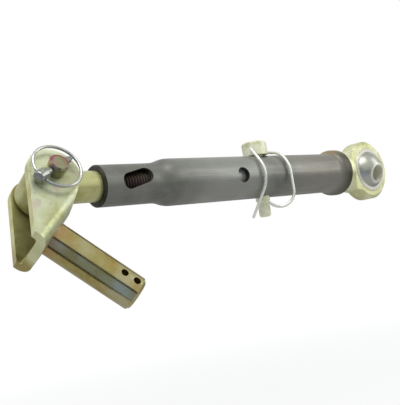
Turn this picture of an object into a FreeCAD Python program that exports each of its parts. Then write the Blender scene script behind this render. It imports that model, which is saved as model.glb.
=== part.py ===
import FreeCAD, Part
import math
import os
import re
import Sketcher

V = FreeCAD.Vector

# A telescopic stabilizer for a tractor's lower link. The origin is the centre of the ball, +X points
# from the yoke along the tube to the ball, and +Z is up. Lengths are in millimetres, angles in degrees.

SIZES = (
    ("ball_radius", 24.5, "radius of the ball"),
    ("ball_width", 44.0, "width of the ball over its two flats"),
    ("ball_bore", 19.4, "bore of the ball"),
    ("ball_play", 0.05, "running clearance between the ball and its race"),
    ("ball_angle", 17.6, "turn of the ball about the tube's axis, as it lies"),
    ("race_wall", 1.75, "thickness of the race at its middle"),
    ("race_width", 23.6, "width of the race"),
    ("race_chamfer", 0.8, "chamfer on the outer edges of the race"),
    ("barrel_od", 69.8, "outside diameter of the eye that holds the race"),
    ("barrel_width", 22.0, "width of that eye"),
    ("barrel_chamfer", 3.5, "chamfer on the eye's outer edges"),
    ("shoulder_od", 46.0, "diameter of the eye's round shoulder"),
    ("shoulder_length", 9.0, "length of the round shoulder"),
    ("shank_spread", 54.0, "height of the forging where it runs into the eye"),
    ("forging_radius", 15.0, "radius between the shoulder and the flat sides"),
    ("plug_length", 16.0, "length of the plug that the inner tube is welded over"),
    ("inner_wall", 5.0, "wall of the inner tube"),
    ("inner_margin", 35.0, "distance from the inner tube's end to the outer tube's swaging"),
    ("slide_play", 0.3, "radial clearance of the inner tube in the outer one"),
    ("float_travel", 30.0, "travel that the slot gives the inner tube"),
    ("slot_play", 0.4, "clearance round the locking pin in the slot"),
    ("rigid_step", 24.0, "extension at which the inner cross hole meets the side holes"),
    ("tube_od", 44.0, "outside diameter of the outer tube"),
    ("tube_wall", 5.0, "wall of the outer tube"),
    ("tube_length", 330.0, "length of the outer tube from its mouth to its rim"),
    ("neck_od", 36.5, "outside diameter of the swaged neck"),
    ("neck_length", 57.0, "length of the straight neck"),
    ("flare_length", 22.0, "length of the curve from the neck to the tube"),
    ("mouth_chamfer", 1.6, "chamfer round the neck's mouth"),
    ("window_length", 33.0, "length of the window in the neck"),
    ("window_width", 14.0, "width of the window in the neck"),
    ("window_place", 34.5, "distance from the mouth to the window's middle"),
    ("window_angle", 10.0, "turn of the window above the front"),
    ("slant_angle", 14.0, "slant of the window to the tube's axis"),
    ("side_margin", 79.0, "distance from the swaging to the side holes"),
    ("pin_place", 182.5, "distance from the ball to the locking pin"),
    ("pin_play", 0.3, "radial clearance of the locking pin in the outer tube"),
    ("rim_place", 54.0, "distance from the ball to the outer tube's rim"),
    ("rim_od", 52.4, "outside diameter of the upset end of the outer tube"),
    ("upset_length", 20.0, "length of that upset end"),
    ("upset_flare", 12.0, "length of the curve from the tube to the upset end"),
    ("rim_chamfer", 1.5, "chamfer of the rim"),
    ("closed_gap", 0.5, "gap between the rim and the eye's shoulder"),
    ("lock_dia", 14.6, "diameter of the locking pin"),
    ("lock_head_dia", 26.0, "diameter of the locking pin's head"),
    ("lock_head_height", 14.4, "height of the locking pin's head"),
    ("lock_head_round", 2.2, "rounding of the locking pin's head"),
    ("lock_head_gap", 0.3, "gap between the head and the crown of the tube"),
    ("lock_reach", 42.0, "depth of the locking pin's end below the tube's axis"),
    ("lock_tip_dia", 12.2, "diameter of the locking pin's end"),
    ("lock_tip_length", 12.0, "length of the locking pin's end"),
    ("lock_tip_chamfer", 1.6, "chamfer of the locking pin's end"),
    ("lock_groove_dia", 10.4, "diameter in the groove above the end"),
    ("lock_groove_width", 4.4, "width of that groove"),
    ("bail_height", 29.0, "height of the bail's pivot above the tube's axis"),
    ("bail_angle", 31.0, "turn of the locking pin's cross hole from the tube's direction"),
    ("bail_wire", 3.0, "diameter of the bail's wire"),
    ("bail_play", 0.08, "clearance of the wire in the head"),
    ("bail_left", 16.5, "offset of the straight leg from the locking pin"),
    ("bail_right", 22.0, "offset of the curled leg from the locking pin"),
    ("bail_bend", 3.0, "radius of the bends beside the head"),
    ("bail_gap", 1.5, "gap between the wire and the outer tube"),
    ("bail_tail_drop", 41.4, "depth of the straight leg's end below the tube's axis"),
    ("bail_tail_back", 1.7, "distance of that end behind the tube's axis"),
    ("bail_run", 19.0, "straight run of the curled leg below the tube's axis"),
    ("bail_curl", 15.2, "radius of the curl"),
    ("bail_curl_angle", 140.0, "angle that the curl turns through"),
    ("bail_curl_yaw", 53.0, "turn of the curl towards the locking pin"),
    ("bail_hook", 3.2, "radius of the hook at the curl's end"),
    ("bail_hook_angle", 46.0, "angle that the hook turns back through"),
    ("rod_dia", 27.0, "diameter of the adjusting rod"),
    ("rod_play", 0.1, "clearance of the rod in the neck"),
    ("rod_depth", 77.6, "length of the rod inside the neck"),
    ("rod_chamfer", 2.0, "chamfer at the rod's end"),
    ("rod_angle", 27.0, "turn of the rod about the tube's axis, as it lies"),
    ("rod_eye_od", 39.0, "outside diameter of the rod's eye"),
    ("rod_eye_width", 31.0, "width of the rod's eye"),
    ("rod_eye_chamfer", 1.5, "chamfer of the rod's eye"),
    ("pivot_place", 47.4, "distance from the neck's mouth to the pivot"),
    ("yoke_width", 48.0, "width of the yoke over its ears"),
    ("plate", 7.5, "thickness of the yoke's plate"),
    ("bend_radius", 2.0, "inner radius of the yoke's bends"),
    ("ear_radius", 21.5, "radius of the ears round the pivot"),
    ("web_reach", 29.0, "distance from the pivot to the web's outer face"),
    ("web_top", 24.0, "height of the web's near end below the pivot"),
    ("web_bottom", 62.0, "depth of the web's far end below the pivot"),
    ("ear_foot", 17.0, "distance from the pivot to the ear's lower back corner"),
    ("yoke_angle", 49.5, "angle of the link pin below the tube's axis, as it hangs"),
    ("pivot_dia", 16.0, "diameter of the pivot pin"),
    ("pivot_play", 0.08, "running clearance of the pivot pin"),
    ("pivot_head_dia", 24.0, "diameter of the pivot pin's head"),
    ("pivot_head_height", 5.0, "height of the pivot pin's head"),
    ("pivot_head_round", 1.2, "rounding of the pivot pin's head"),
    ("pivot_tail", 11.0, "length of the pivot pin outside the ear"),
    ("pivot_chamfer", 1.2, "chamfer of the pivot pin's end"),
    ("link_drop", 38.0, "distance from the pivot down to the link pin's axis"),
    ("link_dia", 28.0, "diameter of the link pin"),
    ("link_length", 78.0, "length of the link pin outside the web"),
    ("link_chamfer", 2.4, "chamfer of the link pin's end"),
    ("spigot_dia", 18.0, "diameter of the link pin's riveted end"),
    ("rivet_dia", 23.0, "diameter of the rivet head inside the web"),
    ("rivet_height", 2.5, "height of the rivet head"),
    ("cross_dia", 6.0, "diameter of the link pin's cross holes"),
    ("cross_end", 7.4, "distance from the link pin's end to the first cross hole"),
    ("cross_pitch", 11.2, "distance between the two cross holes"),
    ("linch_dia", 5.8, "diameter of the linch pin"),
    ("linch_play", 0.1, "clearance of the linch pin in the pivot pin"),
    ("linch_seat", 5.6, "distance from the ear to the linch pin's axis"),
    ("linch_angle", 76.5, "turn of the linch pin from the link pin's direction"),
    ("linch_tip", 17.0, "reach of the linch pin's point from the pivot"),
    ("linch_point", 4.0, "length of the linch pin's tapered point"),
    ("linch_head_dia", 10.4, "diameter of the linch pin's head"),
    ("linch_head_length", 10.0, "length of the linch pin's head"),
    ("linch_head_round", 1.6, "rounding of the linch pin's head"),
    ("linch_head_place", 18.5, "distance from the pivot to the middle of that head"),
    ("ring_wire", 2.6, "diameter of the linch ring's wire"),
    ("ring_radius", 19.6, "mean radius of the linch ring"),
    ("ring_bend", 4.0, "radius of the ring's bends beside the head"),
    ("ring_play", 0.08, "clearance of the ring in the linch pin's head"),
)

doc = FreeCAD.newDocument("LowerLinkStabilizer")
sheet = doc.addObject("Spreadsheet::Sheet", "Sizes")
for row, (alias, value, meaning) in enumerate(SIZES, start=1):
    sheet.set("A%d" % row, meaning)
    sheet.set("B%d" % row, "%g" % value)
    sheet.setAlias("B%d" % row, alias)
doc.recompute()


def size(alias):
    return float(sheet.get(alias))


def bound(text):
    # Turns the plain size names in a formula into references to the sheet.
    return re.sub(r"[a-z]+(?:_[a-z]+)+|plate", r"Sizes.\g<0>", text)


# Places along the tube that several pieces share.
MOUTH = "(-(rim_place + tube_length))"
SHOULDER = "(-(rim_place - closed_gap))"
PIVOT = "(-(rim_place + tube_length + pivot_place))"
ROD_END = "(pivot_place + rod_depth)"
SWAGE_END = "(-(rim_place + tube_length - neck_length - flare_length))"
SIDE_HOLES = "(-(rim_place + tube_length - neck_length - flare_length - side_margin))"
RACE_OD = "(2 * (ball_radius + ball_play + race_wall))"
TUBE_BORE = "(tube_od - 2 * tube_wall)"
INNER_OD = "(tube_od - 2 * tube_wall - 2 * slide_play)"
INNER_ID = "(tube_od - 2 * tube_wall - 2 * slide_play - 2 * inner_wall)"
NECK_BORE = "(rod_dia + 2 * rod_play)"


def measure(text):
    # Works out a formula of sizes as a number.
    return float(sheet.evalExpression(bound(text)))


def new_body(name):
    body = doc.addObject("PartDesign::Body", name)
    body.Label = name
    return body


def new_sketch(body, name, plane, offset=None):
    sketch = body.newObject("Sketcher::SketchObject", name)
    planes = [item for item in body.Origin.OriginFeatures if item.Role == plane]
    sketch.AttachmentSupport = [(planes[0], "")]
    sketch.MapMode = "FlatFace"
    if offset is not None:
        sketch.AttachmentOffset = offset
    return sketch


def pin_down(sketch, geometry, point, x, y):
    # Fixes one point of a sketch by two formulas, measured from the sketch's origin.
    for kind, formula in (("DistanceX", x), ("DistanceY", y)):
        index = sketch.addConstraint(
            Sketcher.Constraint(kind, -1, 1, geometry, point, measure(formula)))
        sketch.setExpression("Constraints[%d]" % index, bound(formula))


def add_arc(sketch, start, end, radius, turn):
    # An arc from start to end. Turn is above 0 where it runs counter-clockwise and below 0 where it
    # runs clockwise, and is 2 or -2 where it is longer than half a circle.
    chord = end - start
    rise = math.sqrt(max(radius ** 2 - chord.Length ** 2 / 4, 0.0))
    if abs(turn) > 1:
        rise = -rise
    side = V(-chord.y, chord.x, 0).normalize() * (1 if turn > 0 else -1)
    centre = (start + end) / 2 + side * rise
    first, last = (start, end) if turn > 0 else (end, start)
    angles = [math.atan2(p.y - centre.y, p.x - centre.x) for p in (first, last)]
    if angles[1] <= angles[0]:
        angles[1] += 2 * math.pi
    circle = Part.Circle(centre, V(0, 0, 1), radius)
    return sketch.addGeometry(Part.ArcOfCircle(circle, angles[0], angles[1]), False)


def outline(body, name, plane, corners, offset=None, sketch=None):
    # A closed outline. A corner is (x, y), or (x, y, radius, turn) where an arc leads to the next one.
    sketch = sketch or new_sketch(body, name, plane, offset)
    spots = [V(measure(corner[0]), measure(corner[1]), 0) for corner in corners]
    ends = []
    for number, corner in enumerate(corners):
        start, end = spots[number], spots[(number + 1) % len(spots)]
        if len(corner) == 2:
            ends.append((sketch.addGeometry(Part.LineSegment(start, end), False), 1, 2))
            continue
        turn = corner[3]
        geometry = add_arc(sketch, start, end, measure(corner[2]), turn)
        ends.append((geometry, 1, 2) if turn > 0 else (geometry, 2, 1))
    for number, corner in enumerate(corners):
        geometry, first, last = ends[number]
        following, next_first, _ = ends[(number + 1) % len(ends)]
        sketch.addConstraint(Sketcher.Constraint("Coincident", geometry, last, following, next_first))
        pin_down(sketch, geometry, first, corner[0], corner[1])
        if len(corner) == 4:
            index = sketch.addConstraint(
                Sketcher.Constraint("Radius", geometry, measure(corner[2])))
            sketch.setExpression("Constraints[%d]" % index, bound(corner[2]))
    return sketch


def disc(body, name, plane, x, y, radius, offset=None):
    sketch = new_sketch(body, name, plane, offset)
    circle = Part.Circle(V(measure(x), measure(y), 0), V(0, 0, 1), measure(radius))
    geometry = sketch.addGeometry(circle, False)
    pin_down(sketch, geometry, 3, x, y)
    index = sketch.addConstraint(Sketcher.Constraint("Radius", geometry, measure(radius)))
    sketch.setExpression("Constraints[%d]" % index, bound(radius))
    return sketch


def oblong(body, name, plane, x_low, x_high, y, radius, offset=None):
    # A slot with round ends whose two centres lie at x_low and x_high.
    sketch = new_sketch(body, name, plane, offset)
    low, high, level, size_of_end = (measure(item) for item in (x_low, x_high, y, radius))
    quarter = math.pi / 2
    ends = [sketch.addGeometry(Part.ArcOfCircle(
        Part.Circle(V(place, level, 0), V(0, 0, 1), size_of_end), start, start + 2 * quarter), False)
        for place, start in ((low, quarter), (high, -quarter))]
    sides = [sketch.addGeometry(Part.LineSegment(V(first, level + lift, 0), V(last, level + lift, 0)),
                                False)
             for first, last, lift in ((low, high, -size_of_end), (high, low, size_of_end))]
    for first, last in ((ends[0], sides[0]), (sides[0], ends[1]), (ends[1], sides[1]),
                        (sides[1], ends[0])):
        sketch.addConstraint(Sketcher.Constraint("Tangent", first, 2, last, 1))
    sketch.addConstraint(Sketcher.Constraint("Equal", ends[0], ends[1]))
    pin_down(sketch, ends[0], 3, x_low, y)
    pin_down(sketch, ends[1], 3, x_high, y)
    index = sketch.addConstraint(Sketcher.Constraint("Radius", ends[0], size_of_end))
    sketch.setExpression("Constraints[%d]" % index, bound(radius))
    return sketch


def turned(body, name, sketch, axis):
    feature = body.newObject("PartDesign::Revolution", name)
    feature.Profile = sketch
    feature.ReferenceAxis = (sketch, [axis])
    feature.Angle = 360
    return finish(body, feature)


def padded(body, name, sketch, length):
    # A plate of that thickness, half of it on each side of the sketch.
    feature = body.newObject("PartDesign::Pad", name)
    feature.Profile = sketch
    feature.Midplane = True
    feature.setExpression("Length", bound(length))
    return finish(body, feature)


def cut_through(body, name, sketch):
    # Cuts the outline out of the whole body, both ways from the sketch.
    feature = body.newObject("PartDesign::Pocket", name)
    feature.Profile = sketch
    feature.Type = "ThroughAll"
    feature.Midplane = True
    return finish(body, feature, cuts=True)


def cut_deep(body, name, sketch, length, backwards=False):
    feature = body.newObject("PartDesign::Pocket", name)
    feature.Profile = sketch
    feature.Reversed = backwards
    feature.setExpression("Length", bound(length))
    return finish(body, feature, cuts=True)


def finish(body, feature, cuts=False):
    body.Tip = feature
    doc.recompute()
    if cuts and feature.Shape.Volume >= feature.BaseFeature.Shape.Volume:
        raise RuntimeError("%s cuts nothing out of %s" % (feature.Name, body.Label))
    return feature


# The ball: turned steel, chromed, with a bore for the bolt or pin that it is held by.
def make_ball():
    body = new_body("ball")
    flat = "sqrt(ball_radius ^ 2 - ball_width ^ 2 / 4)"
    profile = outline(body, "BallSection", "XY_Plane", [
        ("ball_bore / 2", "-ball_width / 2"),
        (flat, "-ball_width / 2", "ball_radius", 1),
        (flat, "ball_width / 2"),
        ("ball_bore / 2", "ball_width / 2")])
    turned(body, "BallTurned", profile, "V_Axis")
    return body


# The race: a steel ring with a hollow round seat, pressed into the eye round the ball.
def make_race():
    body = new_body("ball_race")
    seat = "(ball_radius + ball_play)"
    lip = "sqrt(%s ^ 2 - race_width ^ 2 / 4)" % seat
    profile = outline(body, "RaceSection", "XY_Plane", [
        (lip, "race_width / 2", seat, -1),
        (lip, "-race_width / 2"),
        (RACE_OD + " / 2 - race_chamfer", "-race_width / 2"),
        (RACE_OD + " / 2", "-race_width / 2 + race_chamfer"),
        (RACE_OD + " / 2", "race_width / 2 - race_chamfer"),
        (RACE_OD + " / 2 - race_chamfer", "race_width / 2")])
    turned(body, "RaceTurned", profile, "V_Axis")
    return body


# The eye: a forging. Its round shoulder closes against the outer tube, flat sides run into the barrel
# that holds the race, and a plug behind the shoulder goes into the inner tube.
def make_eye():
    body = new_body("ball_eye")
    shank = outline(body, "ShankSection", "XZ_Plane", [
        (SHOULDER, "0"),
        (SHOULDER, "shoulder_od / 2"),
        (SHOULDER + " + shoulder_length", "shoulder_od / 2"),
        ("-" + RACE_OD + " / 4", "shank_spread / 2"),
        ("-" + RACE_OD + " / 4", "0")])
    turned(body, "ShankTurned", shank, "H_Axis")
    for name, side in (("FlatFront", "-"), ("FlatBack", "")):
        flank = side + "barrel_width / 2"
        step = "%s + shoulder_length" % SHOULDER
        outside = side + "shank_spread"
        rise = side + "(barrel_width / 2 + forging_radius)"
        hollow = outline(body, name, "XY_Plane", [
            (step, outside),
            (step, rise, "forging_radius", 1 if side == "" else -1),
            (step + " + forging_radius", flank),
            ("0", flank),
            ("0", outside)])
        cut_through(body, name + "Cut", hollow)
    barrel = outline(body, "BarrelSection", "XY_Plane", [
        ("0", "-barrel_width / 2"),
        ("barrel_od / 2 - barrel_chamfer", "-barrel_width / 2"),
        ("barrel_od / 2", "-barrel_width / 2 + barrel_chamfer"),
        ("barrel_od / 2", "barrel_width / 2 - barrel_chamfer"),
        ("barrel_od / 2 - barrel_chamfer", "barrel_width / 2"),
        ("0", "barrel_width / 2")])
    turned(body, "BarrelTurned", barrel, "V_Axis")
    cut_through(body, "RaceSeat", disc(body, "RaceCircle", "XZ_Plane", "0", "0", RACE_OD + " / 2"))
    plug = outline(body, "PlugSection", "XZ_Plane", [
        (SHOULDER + " - plug_length", "0"),
        (SHOULDER + " - plug_length", INNER_ID + " / 2"),
        (SHOULDER, INNER_ID + " / 2"),
        (SHOULDER, "0")])
    turned(body, "PlugTurned", plug, "H_Axis")
    return body


# The inner tube slides in the outer one. A long slot lets it float on the locking pin, and a round
# cross hole holds it rigid when the pin goes through the side holes instead.
def make_inner_tube():
    body = new_body("inner_tube")
    far_end = SWAGE_END + " + inner_margin"
    wall = outline(body, "InnerSection", "XZ_Plane", [
        (far_end, INNER_ID + " / 2"),
        (far_end, INNER_OD + " / 2"),
        (SHOULDER, INNER_OD + " / 2"),
        (SHOULDER, INNER_ID + " / 2")])
    turned(body, "InnerTurned", wall, "H_Axis")
    slot = oblong(body, "SlotOutline", "XY_Plane", "-pin_place - float_travel", "-pin_place", "0",
                  "lock_dia / 2 + slot_play")
    cut_through(body, "Slot", slot)
    cross = disc(body, "CrossCircle", "XZ_Plane", SIDE_HOLES + " - rigid_step", "0",
                 "lock_dia / 2 + slot_play")
    cut_through(body, "CrossHole", cross)
    return body


def flare(x_low, y_low, x_high, y_high):
    # Corners of an S curve that rises from one diameter to a larger one, level at both ends.
    run, rise = "((%s) - (%s))" % (x_high, x_low), "((%s) - (%s))" % (y_high, y_low)
    curve = "((%s ^ 2 + %s ^ 2) / (4 * %s))" % (run, rise, rise)
    return [(x_low, y_low, curve, 1),
            ("(%s) + %s / 2" % (x_low, run), "(%s) + %s / 2" % (y_low, rise), curve, -1),
            (x_high, y_high)]


# The outer tube: one end is swaged down to a neck that takes the adjusting rod's thread, with a
# window that shows it. The other end is upset to a thick rim, which the ball's eye closes against.
# The locking pin goes through the top and bottom holes, or the side holes.
def make_outer_tube():
    body = new_body("outer_tube")
    neck_end = MOUTH + " + neck_length"
    upset_start = "-(rim_place + upset_length)"
    upset_full = upset_start + " + upset_flare"
    wall = outline(body, "TubeSection", "XZ_Plane", [
        (MOUTH, NECK_BORE + " / 2"),
        (MOUTH, "neck_od / 2 - mouth_chamfer"),
        (MOUTH + " + mouth_chamfer", "neck_od / 2")]
        + flare(neck_end, "neck_od / 2", SWAGE_END, "tube_od / 2")
        + flare(upset_start, "tube_od / 2", upset_full, "rim_od / 2") + [
        ("-(rim_place + rim_chamfer)", "rim_od / 2"),
        ("-rim_place", "rim_od / 2 - rim_chamfer"),
        ("-rim_place", TUBE_BORE + " / 2"),
        (SWAGE_END, TUBE_BORE + " / 2"),
        (neck_end, NECK_BORE + " / 2")])
    turned(body, "TubeTurned", wall, "H_Axis")
    hole = "lock_dia / 2 + pin_play"
    cut_through(body, "PinHoles", disc(body, "PinCircle", "XY_Plane", "-pin_place", "0", hole))
    cut_through(body, "SideHoles", disc(body, "SideCircle", "XZ_Plane", SIDE_HOLES, "0", hole))
    half = "(window_length / 2 - window_width / 2)"
    tilt = FreeCAD.Placement(V(measure(MOUTH + " + window_place"), 0, 0),
                             FreeCAD.Rotation(V(1, 0, 0), -size("window_angle")))
    slant = FreeCAD.Placement(V(0, 0, 0), FreeCAD.Rotation(V(0, 0, 1), size("slant_angle")))
    window = oblong(body, "WindowOutline", "XZ_Plane", "-" + half, half, "0", "window_width / 2",
                    tilt.multiply(slant))
    cut_deep(body, "Window", window, "neck_od", backwards=True)
    return body


# The locking pin: turned steel with a thick round head, a cross hole for the bail, and a groove
# above its end.
def make_locking_pin():
    body = new_body("locking_pin")
    seat = "(tube_od / 2 + lock_head_gap)"
    top = "(tube_od / 2 + lock_head_gap + lock_head_height)"
    tip = "(-lock_reach + lock_tip_length)"
    profile = outline(body, "LockSection", "XZ_Plane", [
        ("0", "-lock_reach"),
        ("lock_tip_dia / 2 - lock_tip_chamfer", "-lock_reach"),
        ("lock_tip_dia / 2", "-lock_reach + lock_tip_chamfer"),
        ("lock_tip_dia / 2", tip),
        ("lock_groove_dia / 2", tip),
        ("lock_groove_dia / 2", tip + " + lock_groove_width"),
        ("lock_dia / 2", tip + " + lock_groove_width"),
        ("lock_dia / 2", seat),
        ("lock_head_dia / 2", seat),
        ("lock_head_dia / 2", top + " - lock_head_round", "lock_head_round", 1),
        ("lock_head_dia / 2 - lock_head_round", top),
        ("0", top)])
    turned(body, "LockTurned", profile, "V_Axis")
    hole = disc(body, "BailCircle", "YZ_Plane", "0", "bail_height", "bail_wire / 2 + bail_play")
    cut_through(body, "BailHole", hole)
    body.Placement = FreeCAD.Placement(V(-size("pin_place"), 0, 0),
                                       FreeCAD.Rotation(V(0, 0, 1), size("bail_angle")))
    return body


def bend(corner, before, after, radius):
    # Start, middle and end of an arc that rounds a corner between two unit directions out of it.
    half = before.getAngle(after) / 2
    inward = (before + after).normalize()
    centre = corner + inward * (radius / math.sin(half))
    length = radius / math.tan(half)
    return corner + before * length, centre - inward * radius, corner + after * length


def swept_wire(name, path, diameter, closed=False):
    # A round wire of that diameter along a path of straight runs and tangent arcs.
    wire = Part.Wire(path)
    start = wire.Edges[0].valueAt(wire.Edges[0].FirstParameter)
    heading = wire.Edges[0].tangentAt(wire.Edges[0].FirstParameter)
    section = Part.Wire(Part.makeCircle(diameter / 2, start, heading))
    solid = wire.makePipeShell([section], True, False)
    expected = math.pi * diameter ** 2 / 4 * wire.Length
    if abs(solid.Volume - expected) > 0.02 * expected or wire.isClosed() != closed:
        raise RuntimeError("%s is not swept along its whole path" % name)
    feature = doc.addObject("Part::Feature", name)
    feature.Label = name
    feature.Shape = solid
    return feature


# The bail: one spring wire through the locking pin's head. Both legs hug the front of the tube. One
# ends straight beside the pin, and the other curls under and hooks into the pin's groove.
def make_bail():
    wire = size("bail_wire")
    hug = size("tube_od") / 2 + size("bail_gap") + wire / 2
    left, right = -size("bail_left"), size("bail_right")
    tail = V(left, size("bail_tail_back"), -size("bail_tail_drop"))
    slope = math.tan(math.radians(size("bail_angle")))
    corners = [V(x, x * slope, size("bail_height")) for x in (left, right)]

    def on_tube(x, angle):
        # Angle 0 is the front of the tube and 90 its top.
        turn = math.radians(angle)
        return V(x, -hug * math.cos(turn), hug * math.sin(turn))

    def touch(point, side):
        # Angle at which a straight run from that point meets the wire's curve round the tube.
        reach = math.hypot(point.y, point.z)
        lift = math.degrees(math.atan2(point.z, -point.y))
        return lift - side * math.degrees(math.acos(hug / reach))

    tops = [touch(corner, 1) for corner in corners]
    lower = touch(tail, -1)
    downs = [(on_tube(x, top) - corner).normalize()
             for x, top, corner in zip((left, right), tops, corners)]
    across = (corners[1] - corners[0]).normalize()
    first = bend(corners[0], downs[0], across, size("bail_bend"))
    second = bend(corners[1], -across, downs[1], size("bail_bend"))
    side = on_tube(right, 0)
    run_end = side - V(0, 0, size("bail_run"))
    path = [Part.LineSegment(tail, on_tube(left, lower)).toShape(),
            Part.Arc(on_tube(left, lower), on_tube(left, (lower + tops[0]) / 2),
                     on_tube(left, tops[0])).toShape(),
            Part.LineSegment(on_tube(left, tops[0]), first[0]).toShape(),
            Part.Arc(*first).toShape(),
            Part.LineSegment(first[2], second[0]).toShape(),
            Part.Arc(*second).toShape(),
            Part.LineSegment(second[2], on_tube(right, tops[1])).toShape(),
            Part.Arc(on_tube(right, tops[1]), on_tube(right, tops[1] / 2), side).toShape(),
            Part.LineSegment(side, run_end).toShape()]

    yaw = math.radians(size("bail_curl_yaw"))
    inward = V(-math.sin(yaw), math.cos(yaw), 0)
    heading = V(0, 0, -1)
    place = run_end
    for radius, whole in ((size("bail_curl"), size("bail_curl_angle")),
                          (size("bail_hook"), -size("bail_hook_angle"))):
        normal = inward if whole > 0 else -inward
        middle, end = (place + normal * radius * (1 - math.cos(turn)) + heading * radius * math.sin(turn)
                       for turn in (math.radians(abs(whole)) / 2, math.radians(abs(whole))))
        path.append(Part.Arc(place, middle, end).toShape())
        turn = math.radians(abs(whole))
        place = end
        heading, normal = (normal * math.sin(turn) + heading * math.cos(turn),
                           normal * math.cos(turn) - heading * math.sin(turn))
        inward = normal if whole > 0 else -normal
    bail = swept_wire("wire_bail", path, wire)
    bail.Placement = FreeCAD.Placement(V(-size("pin_place"), 0, 0), FreeCAD.Rotation())
    return bail


# The adjusting rod: a forged eye on a round shank that screws into the neck.
def make_rod(roll):
    body = new_body("adjuster_rod")
    shank = outline(body, "RodSection", "XZ_Plane", [
        ("0", "0"),
        ("0", "rod_dia / 2"),
        (ROD_END + " - rod_chamfer", "rod_dia / 2"),
        (ROD_END, "rod_dia / 2 - rod_chamfer"),
        (ROD_END, "0")])
    turned(body, "RodTurned", shank, "H_Axis")
    eye = outline(body, "RodEyeSection", "XZ_Plane", [
        ("0", "-rod_eye_width / 2"),
        ("rod_eye_od / 2 - rod_eye_chamfer", "-rod_eye_width / 2"),
        ("rod_eye_od / 2", "-rod_eye_width / 2 + rod_eye_chamfer"),
        ("rod_eye_od / 2", "rod_eye_width / 2 - rod_eye_chamfer"),
        ("rod_eye_od / 2 - rod_eye_chamfer", "rod_eye_width / 2"),
        ("0", "rod_eye_width / 2")])
    turned(body, "RodEyeTurned", eye, "V_Axis")
    bore = disc(body, "RodBoreCircle", "XY_Plane", "0", "0", "pivot_dia / 2 + pivot_play")
    cut_through(body, "RodBore", bore)
    body.Placement = roll
    return body


def tangent_spot(x, y, radius, turn):
    # Formulas for the point where a line from (x, y) touches a circle round the origin.
    square = "((%s) ^ 2 + (%s) ^ 2)" % (x, y)
    along = "(%s) ^ 2 / %s" % (radius, square)
    across = "(%s) * sqrt(%s - (%s) ^ 2) / %s" % (radius, square, radius, square)
    return ("(%s) * (%s) %s (%s) * %s" % (along, x, "+" if turn < 0 else "-", y, across),
            "(%s) * (%s) %s (%s) * %s" % (along, y, "-" if turn < 0 else "+", x, across))


# The yoke: one plate bent to a channel. Its two ears are drop-shaped and lean back from the web that
# carries the link pin, so the pivot lies behind and above that pin. Here +X is the link pin's
# direction, +Z the pivot's, and the ears hang down along -Y.
def make_yoke(lean):
    body = new_body("yoke")
    inside = "(yoke_width / 2 - plate)"
    back = "-2 * ear_radius"
    outer_bend = "(bend_radius + plate)"
    channel = outline(body, "ChannelSection", "XZ_Plane", [
        (back, "-yoke_width / 2"),
        ("web_reach - %s" % outer_bend, "-yoke_width / 2", outer_bend, 1),
        ("web_reach", "-yoke_width / 2 + %s" % outer_bend),
        ("web_reach", "yoke_width / 2 - %s" % outer_bend, outer_bend, 1),
        ("web_reach - %s" % outer_bend, "yoke_width / 2"),
        (back, "yoke_width / 2"),
        (back, inside),
        ("web_reach - %s" % outer_bend, inside, "bend_radius", -1),
        ("web_reach - plate", "%s - bend_radius" % inside),
        ("web_reach - plate", "-%s + bend_radius" % inside, "bend_radius", -1),
        ("web_reach - %s" % outer_bend, "-%s" % inside),
        (back, "-%s" % inside)])
    padded(body, "Channel", channel, "4 * web_bottom")

    front = "(web_reach + plate)"
    frame = "3 * web_bottom"
    blank = outline(body, "EarOutline", "XY_Plane", [
        tangent_spot("ear_foot", "-web_bottom", "ear_radius", -1),
        ("ear_foot", "-web_bottom"),
        (front, "-web_bottom"),
        (front, "-web_top"),
        ("web_reach", "-web_top"),
        tangent_spot("web_reach", "-web_top", "ear_radius", 1) + ("ear_radius", 2)])
    outline(body, "", "", [
        ("-%s" % frame, "-%s" % frame), (frame, "-%s" % frame),
        (frame, frame), ("-%s" % frame, frame)], sketch=blank)
    cut_through(body, "EarBlank", blank)
    flat = "(yoke_width / 2 - %s)" % outer_bend
    notch = outline(body, "WebTopOutline", "YZ_Plane", [
        ("-web_top", "-%s" % flat), (frame, "-%s" % flat), (frame, flat), ("-web_top", flat)])
    cut_through(body, "WebTop", notch)
    bore = disc(body, "EarBoreCircle", "XY_Plane", "0", "0", "pivot_dia / 2 + pivot_play")
    cut_through(body, "EarBores", bore)
    spigot = disc(body, "SpigotCircle", "YZ_Plane", "-link_drop", "0", "spigot_dia / 2")
    cut_deep(body, "SpigotHole", spigot, "2 * web_reach", backwards=True)
    body.Placement = lean
    return body


# The link pin: turned bar. A thin spigot goes through the web and is riveted over inside, and two
# cross holes at the free end take the linch pins that keep it in the tractor's bracket.
def make_link_pin(lean):
    body = new_body("link_pin")
    inner = "(web_reach - plate)"
    end = "(web_reach + link_length)"
    profile = outline(body, "LinkSection", "XZ_Plane", [
        (inner + " - rivet_height", "0"),
        (inner + " - rivet_height", "spigot_dia / 2"),
        (inner, "rivet_dia / 2"),
        (inner, "spigot_dia / 2"),
        ("web_reach", "spigot_dia / 2"),
        ("web_reach", "link_dia / 2"),
        (end + " - link_chamfer", "link_dia / 2"),
        (end, "link_dia / 2 - link_chamfer"),
        (end, "0")])
    turned(body, "LinkTurned", profile, "H_Axis")
    for name, distance in (("Near", "cross_end"), ("Far", "(cross_end + cross_pitch)")):
        hole = disc(body, "Cross" + name, "XY_Plane", "%s - %s" % (end, distance), "0",
                    "cross_dia / 2")
        cut_through(body, "CrossHole" + name, hole)
    drop = FreeCAD.Placement(V(0, -size("link_drop"), 0), FreeCAD.Rotation())
    body.Placement = lean.multiply(drop)
    return body


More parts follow.
